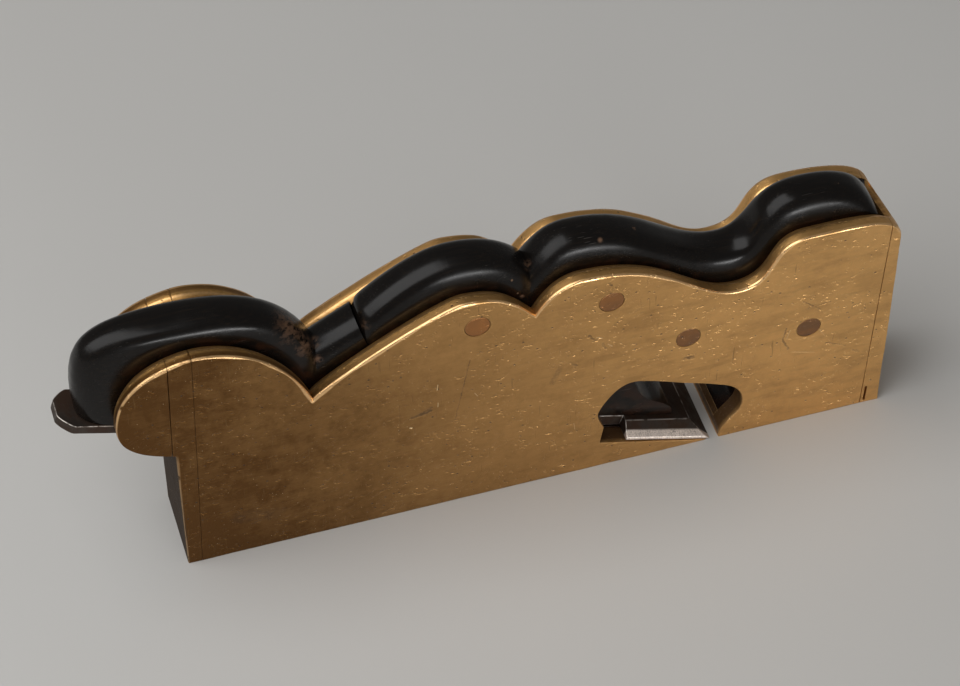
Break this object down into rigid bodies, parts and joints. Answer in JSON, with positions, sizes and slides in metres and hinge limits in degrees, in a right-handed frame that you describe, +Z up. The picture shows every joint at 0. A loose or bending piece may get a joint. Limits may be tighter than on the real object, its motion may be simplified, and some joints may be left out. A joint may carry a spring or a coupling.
{
  "type": "infill shoulder plane",
  "caption": "Brass-bodied shoulder plane with a scalloped, crowned ebony infill, a T-shaped low-angle iron held by a long ebony wedge, and an open throat through both sides.",
  "frame": {"origin": "middle of the sole, halfway between heel and toe face and halfway between the two sides", "axes": "+X from heel to toe, the way the tool is pushed; +Y from the near side plate to the far one; +Z up from the sole"},
  "size_m": [0.2324, 0.0254, 0.088],
  "materials": {
    "plate_brass": "aged satin with brown patina and fine scratches",
    "pin_brass": "aged satin, browner than the plates, filed flush",
    "ebony": "near-black, worn and polished by hands",
    "tool_steel": "brown-grey patina with bright worn arrises"
  },
  "bodies": {
    "body": {"near_cheek": "plate_brass", "far_cheek": "plate_brass", "near_lobe": "plate_brass", "far_lobe": "plate_brass", "heel_plate": "plate_brass", "toe_plate": "plate_brass", "rear_sole": "plate_brass", "toe_sole": "plate_brass", "bed_infill": "ebony", "stuffing": "ebony", "cross_pin_1": "pin_brass", "cross_pin_2": "pin_brass", "cross_pin_3": "pin_brass", "cross_pin_4": "pin_brass"},
    "blade": {"iron": "tool_steel"},
    "wedge": {"wedge": "ebony"}
  },
  "joints": [
    {"name": "iron_slide", "type": "slide", "parent": "body", "child": "blade", "axis": [0.9511, 0, -0.309], "range_m": [-0.0055, 0.001]},
    {"name": "wedge_slide", "type": "slide", "parent": "body", "child": "wedge", "axis": [-0.953, 0, 0.303], "range_m": [0, 0.165]}
  ]
}
